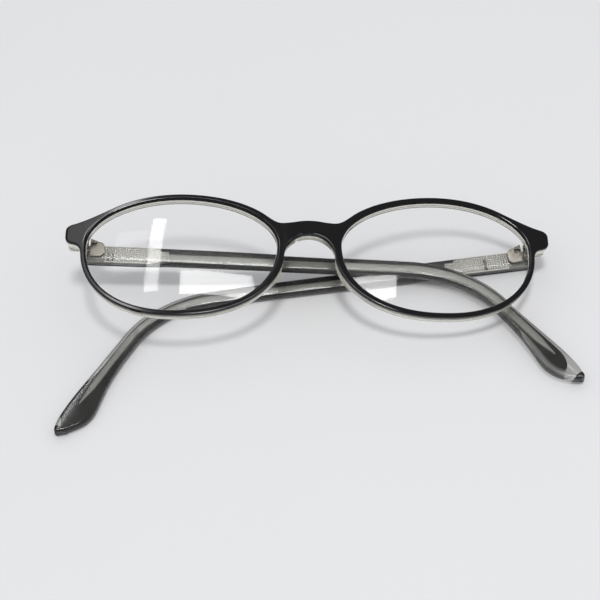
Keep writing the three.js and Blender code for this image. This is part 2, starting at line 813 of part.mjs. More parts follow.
// A slotted screw from the top knuckle down through all three.
function hingeScrew() {
  const top = knucklePitch + hinge.knuckleHeight / 2 + screw.gap;
  const bottom = -knucklePitch - hinge.knuckleHeight / 2;
  const profile = [
    new THREE.Vector2(0, bottom),
    new THREE.Vector2(hinge.screwRadius, bottom),
    new THREE.Vector2(hinge.screwRadius, top),
    new THREE.Vector2(screw.headRadius, top),
    new THREE.Vector2(screw.headRadius, top + screw.headEdge),
    new THREE.Vector2(screw.headTopRadius, top + screw.headHeight),
    new THREE.Vector2(0, top + screw.headHeight),
  ];
  const body = new THREE.LatheGeometry(profile, roundSteps);
  const slot = new THREE.BoxGeometry(screw.headRadius * 3, screw.slotDepth * 2, screw.slotWidth);
  slot.translate(0, top + screw.headHeight, 0);
  return cut(body, slot);
}

function mesh(name, geometry, material) {
  const part = new THREE.Mesh(geometry, material);
  part.name = name;
  return part;
}

// Assembly

const front = new THREE.Group();
front.add(
  mesh('front_black_layer', blackLayer(), blackAcetate),
  mesh('front_crystal_layer', crystalLayer(), crystalAcetate),
);

// The upper arm folds in until it lies on the lower one where they cross.
const separation = arm.thickness + armMeeting.gap;
const lowerDrop = armMeeting.fromLeftHinge * Math.sin(radians(leftArm.foldedShort));
const rightLift = Math.asin((separation - lowerDrop) / armMeeting.fromRightHinge);

for (const [word, spec, fold] of [
  ['right', rightArm, -rightLift],
  ['left', leftArm, -radians(leftArm.foldedShort)],
]) {
  const { side, droop } = spec;
  const screwMesh = mesh(`${word}_hinge_screw`, hingeScrew(), screwMetal);
  screwMesh.position.copy(axisPlace(side));
  front.add(
    mesh(`${word}_lens`, lensGeometry(side), lensPlastic),
    mesh(`${word}_nose_pad`, nosePadGeometry(side), crystalAcetate),
    mesh(`${word}_front_hinge_leaf`, frontLeaf(side), hingeMetal),
    screwMesh,
  );

  const foldFrame = new THREE.Group();
  foldFrame.position.copy(axisPlace(side));
  foldFrame.rotation.y = fold;
  const droopFrame = new THREE.Group();
  droopFrame.rotation.z = side * radians(droop);
  droopFrame.add(
    mesh(`${word}_arm_black_layer`, armBlack(spec), blackAcetate),
    mesh(`${word}_arm_crystal_layer`, armCrystal(spec), crystalAcetate),
    mesh(`${word}_arm_core_wire`, armWire(spec), coreMetal),
  );
  foldFrame.add(droopFrame, mesh(`${word}_arm_hinge_leaf`, armLeaf(spec), hingeMetal));
  front.add(foldFrame);
}

// Laid on the table: tilted as it rests, then set down on its lowest point with
// the middle of its outline over the origin.
const glasses = new THREE.Group();
front.rotation.set(radians(restPitch), radians(restRoll), 0);
glasses.add(front);
glasses.updateMatrixWorld(true);
const box = new THREE.Box3().setFromObject(glasses, true);
const middle = box.getCenter(new THREE.Vector3());
front.position.set(-middle.x, -middle.y, -box.min.z);
glasses.updateMatrixWorld(true);

export default glasses;
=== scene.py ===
import bisect
import json
import math

import bmesh
import bpy
from mathutils import Matrix, Vector


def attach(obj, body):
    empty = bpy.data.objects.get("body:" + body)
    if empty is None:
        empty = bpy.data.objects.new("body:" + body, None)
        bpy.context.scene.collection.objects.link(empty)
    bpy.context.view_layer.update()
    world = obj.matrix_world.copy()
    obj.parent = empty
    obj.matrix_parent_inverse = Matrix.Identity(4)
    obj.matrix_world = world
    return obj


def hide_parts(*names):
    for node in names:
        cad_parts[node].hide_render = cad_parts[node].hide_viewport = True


# Folded reading glasses on a pale table. Right and left are the wearer's.
# Shapes are worked out in millimetres in the front's own frame, then laid in place.

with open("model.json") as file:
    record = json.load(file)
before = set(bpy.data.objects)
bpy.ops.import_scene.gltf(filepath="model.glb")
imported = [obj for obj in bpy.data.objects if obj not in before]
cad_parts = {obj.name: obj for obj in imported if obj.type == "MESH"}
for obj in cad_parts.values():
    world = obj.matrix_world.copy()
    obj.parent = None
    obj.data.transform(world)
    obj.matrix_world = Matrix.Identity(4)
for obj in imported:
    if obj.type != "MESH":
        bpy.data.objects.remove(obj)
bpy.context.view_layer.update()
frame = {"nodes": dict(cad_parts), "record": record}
joints = {joint["name"]: joint for joint in frame["record"]["behaviour"]["joints"]}
sides = {"right": -1, "left": 1}
print("frame loaded")

eye = {"templeHalf": 24.0, "noseHalf": 25.5, "rise": 13.9, "drop": 19.5, "widestLine": 2.6,
       "lowerRoundness": 2.2, "tilt": 1.35, "noseGap": 16.7}
front = {"rimWidth": 1.5, "noseFlare": 0.6, "bevel": 0.6, "bevelDepth": 0.45, "edge": 0.3,
         "backEdge": 0.65, "backSlope": 0.38, "slopeFrom": 0.3, "openingEdge": 0.22,
         "bridgeTop": 9.5, "bridgeDip": 8.85, "dipHalf": 6.6, "archTop": 5.3,
         "reach": 5.6, "endCentre": 6.65, "endHeight": 5.9, "endCorner": 2.05,
         "black": 0.8, "crystal": 2.9, "glue": 0.1, "bendRadius": 600.0,
         "grooveDepth": 0.6, "grooveHalf": 0.65, "grooveBehind": 2.2,
         "bridgeRise": 0.3, "riseFrom": 8.2, "riseTo": 4.4, "riseFade": 0.7, "bond": 0.03}
rimAngles = {"archFoot": -172, "belowEnd": -12, "aboveEnd": 47, "bridge": 142}
pulls = {"belowEnd": 0.45, "aboveEnd": 0.3, "bridge": 0.35}
eyeX = eye["noseGap"] / 2 + eye["noseHalf"]
thick = front["black"] + front["glue"] + front["crystal"]
halfWidth = eyeX + eye["templeHalf"] + front["reach"]


def faceForm(x):  # how far the bent front lies back
    return math.sqrt(front["bendRadius"] ** 2 - x * x) - front["bendRadius"]


hinge = {"height": 6.7, "inset": 0.4, "armThickness": 3.2, "axisProud": 1.2, "standoff": 4.0}
axisX = halfWidth - hinge["inset"] - hinge["armThickness"] - hinge["axisProud"]
axisZ = faceForm(axisX) - thick - hinge["standoff"]

# The two hinges say how the front lies in the row's frame.
rightAxis = Vector(joints["right_arm_hinge"]["pos_m"])
across = (Vector(joints["left_arm_hinge"]["pos_m"]) - rightAxis).normalized()
upFace = Vector(joints["right_arm_hinge"]["axis"]).normalized()
turn = Matrix((across, upFace, across.cross(upFace))).transposed().to_4x4()
shift = rightAxis - turn @ (Vector((-axisX, hinge["height"], axisZ)) * 0.001)
toRow = Matrix.Translation(shift) @ turn @ Matrix.Scale(0.001, 4)


# Mesh making

def newPiece(name, points, faces, materials, faceSlots=None, place=toRow, smooth=True):
    mesh = bpy.data.meshes.new(name)
    mesh.from_pydata([place @ Vector(p) for p in points], [], faces)
    piece = bpy.data.objects.new(name, mesh)
    bpy.context.collection.objects.link(piece)
    for material in materials:
        mesh.materials.append(material)
    if faceSlots:
        mesh.polygons.foreach_set("material_index", faceSlots)
    work = bmesh.new()
    work.from_mesh(mesh)
    bmesh.ops.remove_doubles(work, verts=work.verts, dist=2e-6)
    bmesh.ops.delete(work, geom=[v for v in work.verts if not v.link_faces], context="VERTS")
    bmesh.ops.recalc_face_normals(work, faces=work.faces)
    work.to_mesh(mesh)
    work.free()
    mesh.polygons.foreach_set("use_smooth", [smooth] * len(mesh.polygons))
    mesh.update()
    return piece


def finishPiece(piece, body, node):
    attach(piece, body)
    if node:
        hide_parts(node)


def keepSharp(piece, degrees):  # faces that meet more steeply than this stay crisp
    work = bmesh.new()
    work.from_mesh(piece.data)
    for edge in work.edges:
        edge.smooth = edge.calc_face_angle(0) < math.radians(degrees)
    work.to_mesh(piece.data)
    work.free()


def strips(levels, count):  # the faces between closed rings of points
    faces = []
    for start in range(0, (levels - 1) * count, count):
        for i in range(count):
            j = (i + 1) % count
            faces.append([start + i, start + j, start + count + j, start + count + i])
    return faces


def cappedStrips(levels, count):
    last = (levels - 1) * count
    return strips(levels, count) + [list(range(count)), list(range(last, last + count))]


# Materials

def linear(hexColour):
    parts = [int(hexColour[i:i + 2], 16) / 255 for i in (1, 3, 5)]
    return [c / 12.92 if c <= 0.04045 else ((c + 0.055) / 1.055) ** 2.4 for c in parts] + [1.0]


def addNode(tree, kind, settings=(), links=()):
    node = tree.nodes.new(kind)
    for name, value in dict(settings).items():
        if isinstance(name, str) and hasattr(node, name):
            setattr(node, name, value)
        else:
            node.inputs[name].default_value = value
    for name, socket in dict(links).items():
        tree.links.new(socket, node.inputs[name])
    return node


def noise(tree, place, grainMm, detail):
    return addNode(tree, "ShaderNodeTexNoise", {"Scale": 1000 / grainMm, "Detail": detail},
                   {"Vector": place}).outputs["Fac"]


def ranged(tree, share, least, most):
    return addNode(tree, "ShaderNodeMapRange", {"To Min": least, "To Max": most},
                   {"Value": share}).outputs["Result"]


def toned(tree, share, first, second):
    return addNode(tree, "ShaderNodeMix", {"data_type": "RGBA", 6: linear(first), 7: linear(second)},
                   {0: share}).outputs[2]


def bumped(tree, height, strength, distance):
    return addNode(tree, "ShaderNodeBump", {"Strength": strength, "Distance": distance},
                   {"Height": height}).outputs["Normal"]


def mixed(tree, share, first, second):
    return addNode(tree, "ShaderNodeMixShader", {}, {0: share, 1: first, 2: second}).outputs["Shader"]


def newMaterial(name):
    material = bpy.data.materials.new(name)
    material.use_nodes = True
    tree = material.node_tree
    tree.nodes.clear()
    place = addNode(tree, "ShaderNodeTexCoord").outputs["Object"]
    return material, tree, place


def endMaterial(tree, shader):
    addNode(tree, "ShaderNodeOutputMaterial", links={"Surface": shader})


# Lamps and soft light pass clear plastic straight; only what is seen or mirrored is bent.
def letLightPass(tree, surface, colour):
    passed = addNode(tree, "ShaderNodeBsdfTransparent", {"Color": colour})
    path = addNode(tree, "ShaderNodeLightPath")
    light = addNode(tree, "ShaderNodeMath", {"operation": "MAXIMUM"},
                    {0: path.outputs["Is Shadow Ray"], 1: path.outputs["Is Diffuse Ray"]})
    endMaterial(tree, mixed(tree, light.outputs[0], surface, passed.outputs["BSDF"]))


# One noise varies the tone, the gloss and the height, as far as the look names them.
def mottled(name, look):
    material, tree, place = newMaterial(name)
    grain = noise(tree, place, look["grainMm"], look["detail"])
    links = {}
    if "tones" in look:
        links["Base Color"] = toned(tree, grain, *look["tones"])
    if "gloss" in look:
        links["Roughness"] = ranged(tree, grain, *look["gloss"])
    if "bump" in look:
        links["Normal"] = bumped(tree, grain, *look["bump"])
    shader = addNode(tree, "ShaderNodeBsdfPrincipled", look["shader"], links)
    endMaterial(tree, shader.outputs["BSDF"])
    return material


# Cellulose acetate, tumble polished: deep gloss, with faint handling scratches.
polishedBlack = {"colour": "#08080A", "ior": 1.48, "smearMm": 9.0, "smearDetail": 4.0,
                 "gloss": (0.04, 0.14), "scratchMm": 0.5, "scratchDetail": 2.0,
                 "stretch": (0.25, 1.0, 1.0), "bump": (0.05, 0.00002)}


def blackAcetate():
    material, tree, place = newMaterial("polishedBlackAcetate")
    smear = noise(tree, place, polishedBlack["smearMm"], polishedBlack["smearDetail"])
    stretched = addNode(tree, "ShaderNodeMapping", {"Scale": polishedBlack["stretch"]}, {"Vector": place})
    scratch = noise(tree, stretched.outputs["Vector"], polishedBlack["scratchMm"],
                    polishedBlack["scratchDetail"])
    shader = addNode(tree, "ShaderNodeBsdfPrincipled",
                     {"Base Color": linear(polishedBlack["colour"]), "IOR": polishedBlack["ior"]},
                     {"Roughness": ranged(tree, smear, *polishedBlack["gloss"]),
                      "Normal": bumped(tree, scratch, *polishedBlack["bump"])})
    endMaterial(tree, shader.outputs["BSDF"])
    return material


# The black's inner side, bonded to the clear layer: no gloss of its own, a little cloudy.
bondedLook = {"grainMm": 3.0, "detail": 3.0, "tones": (polishedBlack["colour"], "#0C0C0E"),
              "shader": {"Roughness": 0.6, "Specular IOR Level": 0.0}}

# Clear cellulose acetate, cut from sheet and polished: it bends what lies behind it, and
# age has given it a warm tint and a thin haze of scratches.
clearLook = {"ior": 1.49, "hazeMm": 5.0, "hazeDetail": 5.0, "hazeColour": "#E6E4DC",
             "hazeSpread": (0.4, 1.6),
             "front": {"tint": "#F3F1E8", "haze": 0.27, "gloss": (0.0, 0.08)},
             "arm": {"tint": "#DCDCDA", "haze": 0.03, "gloss": (0.08, 0.2)}}


def clearAcetate(name, look):
    material, tree, place = newMaterial(name)
    cloud = noise(tree, place, clearLook["hazeMm"], clearLook["hazeDetail"])
    bend = addNode(tree, "ShaderNodeBsdfPrincipled",
                   {"Base Color": linear(look["tint"]), "IOR": clearLook["ior"], "Transmission Weight": 1.0},
                   {"Roughness": ranged(tree, cloud, *look["gloss"])})
    film = addNode(tree, "ShaderNodeBsdfDiffuse", {"Color": linear(clearLook["hazeColour"])})
    least, most = clearLook["hazeSpread"]
    share = ranged(tree, cloud, look["haze"] * least, look["haze"] * most)
    letLightPass(tree, mixed(tree, share, bend.outputs["BSDF"], film.outputs["BSDF"]), linear(look["tint"]))
    return material


# The clear layer's bonded side: nothing bends or shines there.
bondedClearLook = {"grainMm": 5.0, "detail": 2.0, "tones": ("#FFFFFF", "#FBFBF8")}


def bondedClear():
    material, tree, place = newMaterial("bondedClearAcetate")
    cloud = noise(tree, place, bondedClearLook["grainMm"], bondedClearLook["detail"])
    clear = addNode(tree, "ShaderNodeBsdfTransparent", {},
                    {"Color": toned(tree, cloud, *bondedClearLook["tones"])})
    endMaterial(tree, clear.outputs["BSDF"])
    return material


# Lens plastic: colourless, it bends what lies behind it and mirrors the lamps; a little dust.
lensLook = {"tint": "#FFFFFF", "ior": 1.5, "coatedIor": 1.45, "dustMm": 4.0, "dustDetail": 3.0,
            "gloss": (0.02, 0.07)}


def lensPlastic():
    material, tree, place = newMaterial("coatedLensPlastic")
    bent = addNode(tree, "ShaderNodeBsdfRefraction",
                   {"Color": linear(lensLook["tint"]), "Roughness": 0.0, "IOR": lensLook["ior"]})
    dust = noise(tree, place, lensLook["dustMm"], lensLook["dustDetail"])
    shine = addNode(tree, "ShaderNodeBsdfGlossy", {"Color": linear(lensLook["tint"])},
                    {"Roughness": ranged(tree, dust, *lensLook["gloss"])})
    fresnel = addNode(tree, "ShaderNodeFresnel", {"IOR": lensLook["coatedIor"]})
    inside = addNode(tree, "ShaderNodeNewGeometry").outputs["Backfacing"]  # the coated back hardly mirrors
    share = addNode(tree, "ShaderNodeMapRange", {"To Max": 0.0},
                    {"Value": inside, "To Min": fresnel.outputs["Fac"]}).outputs["Result"]
    surface = mixed(tree, share, bent.outputs["BSDF"], shine.outputs["BSDF"])
    letLightPass(tree, surface, linear(lensLook["tint"]))
    return material


# Nickel silver, stamped and barrel finished: satin, with fine pits and a dulled warm tone.
silverLook = {"grainMm": 0.35, "detail": 3.0, "tones": ("#6B6861", "#85817A"), "gloss": (0.45, 0.65),
              "bump": (0.25, 0.00004), "shader": {"Metallic": 1.0}}
# Dull brown: painted shade on a plate in the leaf's slot, and the colour of the dark bars in the arms.
shadeAndBarLook = {"grainMm": 0.6, "detail": 3.0, "tones": ("#4A4238", "#6B6355"),
               "shader": {"Roughness": 0.7, "Metallic": 0.2}}
# Drawn wire seen through old acetate: flat, grey, hardly shining. Its rolled head is painted paler: painted
# sheen for the glints of its knurled facets.
coreLook = {"grainMm": 0.8, "detail": 3.0, "tones": ("#72726F", "#8B8B87"), "bump": (0.3, 0.00005),
            "shader": {"Metallic": 0.3, "Roughness": 0.5}}
knurlSheenLook = {**coreLook, "grainMm": 0.5, "tones": ("#CBC9C3", "#E4E3DE")}
# Turned steel screw: bright, with turning marks.
screwLook = {"grainMm": 0.2, "detail": 2.0, "gloss": (0.18, 0.34),
             "shader": {"Base Color": linear("#C9C7C0"), "Metallic": 1.0}}
# Painted board, matt and very slightly uneven.
tableLook = {"grainMm": 1000 / 9, "detail": 2.0, "tones": ("#E2E2E3", "#E5E5E6"),
             "shader": {"Roughness": 0.8, "Specular IOR Level": 0.1}}

black = blackAcetate()
blackJoint = mottled("bondedBlackAcetate", bondedLook)
clearFront = clearAcetate("polishedClearAcetate", clearLook["front"])
clearArm = clearAcetate("agedClearAcetate", clearLook["arm"])
clearJoint = bondedClear()
lensClear = lensPlastic()
silver = mottled("satinNickelSilver", silverLook)
# dull brown painted shade for the leaves' slots, also the colour of the dark bars in the arms
shadeAndBarMetal = mottled("paintedSlotShadeAndDarkBars", shadeAndBarLook)
core = mottled("drawnCoreWire", coreLook)
# the knurled head's paler tones are painted sheen for the glints of its facets
bright = mottled("knurledCoreHeadPaintedSheen", knurlSheenLook)
steel = mottled("turnedScrewSteel", screwLook)
print("materials made")


# Outlines of the front

def eyePoint(angle):
    across, up = math.cos(angle), math.sin(angle)
    power = 2 / eye["lowerRoundness"] if up < 0 else 1
    x = math.copysign(abs(across) ** power, across) * (eye["templeHalf"] if across > 0 else eye["noseHalf"])
    y = math.copysign(abs(up) ** power, up) * (eye["rise"] if up > 0 else eye["drop"])
    tilt = math.radians(eye["tilt"])
    return Vector((x * math.cos(tilt) - y * math.sin(tilt) + eyeX,
                   x * math.sin(tilt) + y * math.cos(tilt) + eye["widestLine"]))


def besideEye(angle, offset):
    nudge = 0.003
    along = (eyePoint(angle + nudge) - eyePoint(angle - nudge)).normalized()
    return eyePoint(angle) + Vector((along.y, -along.x)) * offset


def rimWidthAt(angle):
    return front["rimWidth"] + front["noseFlare"] * max(0, -math.cos(angle)) ** 2


def rimPoint(degrees):
    angle = math.radians(degrees)
    return besideEye(angle, rimWidthAt(angle))


def evenly(start, end, steps):
    return [start + (end - start) * i / steps for i in range(steps + 1)]


def quadratic(a, b, c, steps):
    return [a * (1 - t) ** 2 + b * 2 * t * (1 - t) + c * t * t for t in evenly(0, 1, steps)]


def cubic(a, b, c, d, steps):
    return [a * (1 - t) ** 3 + b * 3 * t * (1 - t) ** 2 + c * 3 * t * t * (1 - t) + d * t ** 3
            for t in evenly(0, 1, steps)]


outlineSteps = {"arch": 24, "lower": 102, "upper": 60, "corner": 12, "join": 18, "crown": 18, "seam": 10}


def join(before, after, pull):
    start, end = before[-1], after[0]
    reach = (end - start).length * pull
    leave = (start - before[-2]).normalized() * reach
    enter = (end - after[1]).normalized() * reach
    return cubic(start, start + leave, end + enter, end, outlineSteps["join"])[1:-1]


def halfOutline():
    foot = rimPoint(rimAngles["archFoot"])
    archRise = front["archTop"] - foot.y
    arch = [Vector((foot.x * math.cos(a), foot.y + archRise * math.sin(a)))
            for a in evenly(math.pi / 2, 0, outlineSteps["arch"])][:-1]
    lower = [rimPoint(d)
             for d in evenly(rimAngles["archFoot"], rimAngles["belowEnd"], outlineSteps["lower"])]
    upper = [rimPoint(d)
             for d in evenly(rimAngles["aboveEnd"], rimAngles["bridge"], outlineSteps["upper"])]
    low = front["endCentre"] - front["endHeight"] / 2
    high = front["endCentre"] + front["endHeight"] / 2
    turnIn = front["endCorner"]
    lowCorner = quadratic(Vector((halfWidth - turnIn, low)), Vector((halfWidth, low + turnIn / 4)),
                          Vector((halfWidth, low + turnIn)), outlineSteps["corner"])
    highCorner = quadratic(Vector((halfWidth, high - turnIn)), Vector((halfWidth, high - turnIn / 4)),
                           Vector((halfWidth - turnIn, high)), outlineSteps["corner"])
    dip = [Vector((front["dipHalf"], front["bridgeDip"])), Vector((0, front["bridgeDip"]))]
    crown = cubic(dip[0], Vector((front["dipHalf"] / 2, front["bridgeDip"])),
                  Vector((front["dipHalf"] / 2, front["bridgeTop"])), Vector((0, front["bridgeTop"])),
                  outlineSteps["crown"])
    return (arch + lower + join(lower, lowCorner, pulls["belowEnd"]) + lowCorner
            + highCorner + join(highCorner, upper, pulls["aboveEnd"])
            + upper + join(upper, dip, pulls["bridge"]) + crown)


outline = halfOutline()
normals = []
for i, point in enumerate(outline):
    before = outline[i - 1] if i else Vector((-outline[1].x, outline[1].y))
    after = outline[i + 1] if i + 1 < len(outline) else Vector((-outline[-2].x, outline[-2].y))
    along = (after - before).normalized()
    normals.append(Vector((-along.y, along.x)))

# Each outline point is paired with the point of the lens opening in the same direction.
pairY = 0.5
pairs = [(math.atan2(p.y - pairY, p.x - eyeX), a) for a in evenly(-math.pi, math.pi, 1440)[:-1]
         for p in [eyePoint(a)]]
pairs.sort()
pairs = [(pairs[-1][0] - 2 * math.pi, pairs[-1][1])] + pairs + [(pairs[0][0] + 2 * math.pi, pairs[0][1])]
pairKeys = [key for key, angle in pairs]


def openingAngle(point):
    toward = math.atan2(point.y - pairY, point.x - eyeX)
    i = bisect.bisect(pairKeys, toward)
    (k0, a0), (k1, a1) = pairs[i - 1], pairs[i]
    if a1 - a0 > math.pi:
        a1 -= 2 * math.pi
    if a0 - a1 > math.pi:
        a1 += 2 * math.pi
    return a0 + (a1 - a0) * (toward - k0) / (k1 - k0)


def outerRing(inset):
    ring = [p + n * inset for p, n in zip(outline, normals)]
    top, arch = ring[-1].y, ring[0].y
    return ring + [Vector((0, y)) for y in evenly(top, arch, outlineSteps["seam"])[1:-1]]


pairAngles = [openingAngle(p) for p in outerRing(front["edge"])]


def faceAt(x, z):  # the bridge stands slightly proud of the rims
    t = min(max((front["riseFrom"] - abs(x)) / (front["riseFrom"] - front["riseTo"]), 0), 1)
    proud = front["bridgeRise"] * t * t * (3 - 2 * t) * max(1 + z / front["riseFade"], 0)
    return z + faceForm(x) + proud


def frontRings(outer, opening, spans):
    rings = [[(p.x, p.y, faceAt(p.x, z)) for p in outerRing(inset)] for inset, z in outer]
    inner = [[(p.x, p.y, faceAt(p.x, z)) for p in (besideEye(a, offset) for a in pairAngles)]
             for offset, z in opening]
    between = []
    for share in evenly(0, 1, spans)[1:-1]:
        ring = []
        for a, b in zip(rings[-1], inner[0]):
            x, y = a[0] + (b[0] - a[0]) * share, a[1] + (b[1] - a[1]) * share
            ring.append((x, y, faceAt(x, outer[-1][1])))
        between.append(ring)
    return rings + between + inner


def frontPiece(name, rings, materials):  # the last strip, at the joint, has the second material
    points, faces, faceSlots = [], [], []
    count = len(rings[0])
    for side in (1, -1):
        start = len(points)
        for ring in rings:
            points += [(x * side, y, z) for x, y, z in ring]
        for level in range(len(rings)):
            nextLevel = (level + 1) % len(rings)
            for i in range(count):
                j = (i + 1) % count
                quad = [level * count + i, level * count + j, nextLevel * count + j, nextLevel * count + i]
                if all(abs(points[start + k][0]) < 1e-6 for k in quad):
                    continue
                faces.append([start + k for k in (quad if side > 0 else reversed(quad))])
                faceSlots.append(0 if nextLevel else 1)
    return newPiece(name, points, faces, materials, faceSlots)


def rounded(radius, steps, z, sign):  # levels of a quarter-round outer edge
    return [(radius * (1 - math.cos(a)), z + sign * radius * (1 - math.sin(a)))
            for a in evenly(0, math.pi / 2, steps)]


backOfBlack = -front["black"]
bevelShares = [(1, 0), (0.78, 0.06), (0.5, 0.24), (0.22, 0.55), (0, 1)]
blackOuter = [(0, backOfBlack)] + rounded(front["edge"], 4, 0, -1)
blackOpening = [(front["bevel"] * a, -front["bevelDepth"] * b) for a, b in bevelShares] + [(0, backOfBlack)]
blackFront = frontPiece("frontBlackLayer", frontRings(blackOuter, blackOpening, 9), [black, blackJoint])
keepSharp(blackFront, 50)
finishPiece(blackFront, "front", "front_black_layer")

crystalTop = -front["black"] + front["bond"]  # bonded: seen as one with the black
crystalBack = -thick
middle = -front["grooveBehind"]
crystalOuter = [(0, crystalTop), (0, crystalTop - front["slopeFrom"])] + [
    (front["backSlope"] + i, z) for i, z in rounded(front["backEdge"], 6, crystalBack, 1)]
crystalOpening = rounded(front["openingEdge"], 3, crystalBack, 1)[::-1] + [
    (0, middle - front["grooveHalf"]), (front["grooveDepth"], middle), (0, middle + front["grooveHalf"]),
    (0, crystalTop)]
crystalFront = frontPiece("frontCrystalLayer", frontRings(crystalOuter, crystalOpening, 4),
                          [clearFront, clearJoint])

# Behind each endpiece the clear layer is thicker, and the hinge's root is let into it.
endBlock = {"from": 58.5, "to": 62.9, "low": 4.7, "high": 8.8, "depth": 2.4, "sink": 0.6, "corner": 0.6,
            "edge": 0.25, "edgeShare": 0.3, "rootStart": 0.3, "rootLength": 3.0, "rootWidth": 3.2,
            "rootThickness": 1.0, "rootProud": 0.3, "pocketGap": 0.08}
blockBack = faceForm(axisX) - thick - endBlock["depth"]


def prism(name, shape, levels, side):  # a shape drawn in by each level's inset
    points = []
    centre = sum(shape, Vector((0, 0))) / len(shape)
    for inset, z in levels:
        for p in shape:
            q = p - Vector((math.copysign(inset, p.x - centre.x), math.copysign(inset, p.y - centre.y)))
            points.append((q.x * side, q.y, z))
    return newPiece(name, points, cappedStrips(len(levels), len(shape)), [clearFront])


def carve(piece, tool, operation):
    change = piece.modifiers.new("carve", "BOOLEAN")
    change.operation = operation
    change.solver = "EXACT"
    change.object = tool
    made = bpy.data.meshes.new_from_object(piece.evaluated_get(bpy.context.evaluated_depsgraph_get()))
    piece.modifiers.clear()
    piece.data = made
    bpy.data.objects.remove(tool)


turnIn = endBlock["corner"]
blockOutline = [Vector((endBlock["from"], endBlock["low"]))]
for start, middleY in ((-math.pi / 2, endBlock["low"] + turnIn), (0, endBlock["high"] - turnIn)):
    blockOutline += [Vector((endBlock["to"] - turnIn + turnIn * math.cos(a), middleY + turnIn * math.sin(a)))
                     for a in evenly(start, start + math.pi / 2, 6)]
blockOutline.append(Vector((endBlock["from"], endBlock["high"])))
step = endBlock["edge"] * endBlock["edgeShare"]
blockLevels = [(endBlock["edge"], blockBack), (step, blockBack + step),
               (0, blockBack + endBlock["edge"]), (0, blockBack + endBlock["depth"] + endBlock["sink"])]
gap = endBlock["pocketGap"]
near = axisX + endBlock["rootStart"] - gap
far = near + endBlock["rootLength"] + 2 * gap
half = endBlock["rootWidth"] / 2 + gap
pocket = [Vector((near, hinge["height"] - half)), Vector((far, hinge["height"] - half)),
          Vector((far, hinge["height"] + half)), Vector((near, hinge["height"] + half))]
pocketTop = blockBack - endBlock["rootProud"] + endBlock["rootThickness"] + gap
for side in (1, -1):
    carve(crystalFront, prism("endBlock", blockOutline, blockLevels, side), "UNION")
    carve(crystalFront, prism("pocket", pocket, [(0, blockBack - 1), (0, pocketTop)], side), "DIFFERENCE")
keepSharp(crystalFront, 40)
finishPiece(crystalFront, "front", "front_crystal_layer")
print("front made")

# Lenses: a thin meniscus with a bevelled edge
lens = {"edge": 1.6, "frontDome": 1.5, "backDome": 1.0, "clearance": 0.1, "around": 128, "rings": 10}
centre = Vector((eyeX, eye["widestLine"]))
angles = evenly(0, 2 * math.pi, lens["around"])[:-1]
lip = [besideEye(a, -lens["clearance"]) for a in angles]
apex = [besideEye(a, front["grooveDepth"] - lens["clearance"]) for a in angles]
bevelHalf = front["grooveHalf"] - lens["clearance"]
half = lens["edge"] / 2


def dome(share, base, height):
    flat = [centre + (p - centre) * share for p in lip]
    return [(p.x, p.y, middle + base + height * (1 - share ** 2) + faceForm(p.x)) for p in flat]


shares = [i / lens["rings"] for i in range(1, lens["rings"] + 1)]
rings = [dome(share, half, lens["frontDome"]) for share in shares]
for edgeLine, rise in ((lip, bevelHalf), (apex, 0), (lip, -bevelHalf)):
    rings.append([(p.x, p.y, middle + rise + faceForm(p.x)) for p in edgeLine])
rings += [dome(share, -half, lens["backDome"]) for share in reversed(shares)]
for word, side in sides.items():
    points = [(x * side, y, z) for ring in rings for x, y, z in ring]
    count = lens["around"]
    faces = strips(len(rings), count)
    points.append((side * centre.x, centre.y, middle + half + lens["frontDome"] + faceForm(centre.x)))
    points.append((side * centre.x, centre.y, middle - half + lens["backDome"] + faceForm(centre.x)))
    last = (len(rings) - 1) * count
    for i in range(count):
        j = (i + 1) % count
        faces.append([len(points) - 2, j, i])
        faces.append([len(points) - 1, last + i, last + j])
    piece = newPiece(word + "Lens", points, faces, [lensClear])
    keepSharp(piece, 30)
    finishPiece(piece, "front", word + "_lens")
print("lenses made")

# Nose pads: clear fins, thinned and rounded towards their tips, where they keep a share of
# their thickness and of their length
pad = {"half": 0.95, "depth": 3.4, "splay": 1.1, "start": -178, "end": -150, "around": 26, "levels": 12,
       "thicknessKept": 0.25, "lengthKept": 0.62, "tipRoundness": 2.6, "sectionRoundness": 0.7}


def padSection(share):  # thickness and length left at a share of the depth
    full = math.sqrt(max(1 - share ** pad["tipRoundness"], 0))
    return (pad["thicknessKept"] + (1 - pad["thicknessKept"]) * full,
            pad["lengthKept"] + (1 - pad["lengthKept"]) * full)


for word, side in sides.items():
    points = []
    for share in evenly(0, 1, pad["levels"]):
        thickness, length = padSection(share)
        z = -thick - front["glue"] - pad["depth"] * share
        for turnAngle in evenly(0, 2 * math.pi, pad["around"])[:-1]:
            along, across = math.cos(turnAngle), math.sin(turnAngle)
            angle = math.radians(pad["start"] + (pad["end"] - pad["start"]) * (1 + along * length) / 2)
            across = math.copysign(abs(across) ** pad["sectionRoundness"], across)
            offset = rimWidthAt(angle) / 2 - pad["splay"] * share + pad["half"] * thickness * across
            p = besideEye(angle, offset)
            points.append((p.x * side, p.y, z + faceForm(p.x)))
    faces = cappedStrips(pad["levels"] + 1, pad["around"])
    piece = newPiece(word + "NosePad", points, faces, [clearFront])
    keepSharp(piece, 50)
    finishPiece(piece, "front", word + "_nose_pad")
print("nose pads made")

# Arms: X along the arm from the hinge axis, Y up, Z to the inner side
arm = {"bendLength": 26.5, "curlAngle": 8.9, "curlDelay": 0.2, "curlLength": 15.7, "ahead": 1.1,
       "lower": 0.65, "thickness": 2.5, "taperLength": 30.0, "black": 0.9,
       "crown": 0.75, "crownFlat": 0.35, "crownPower": 1.7, "corner": 0.9, "step": 0.25}
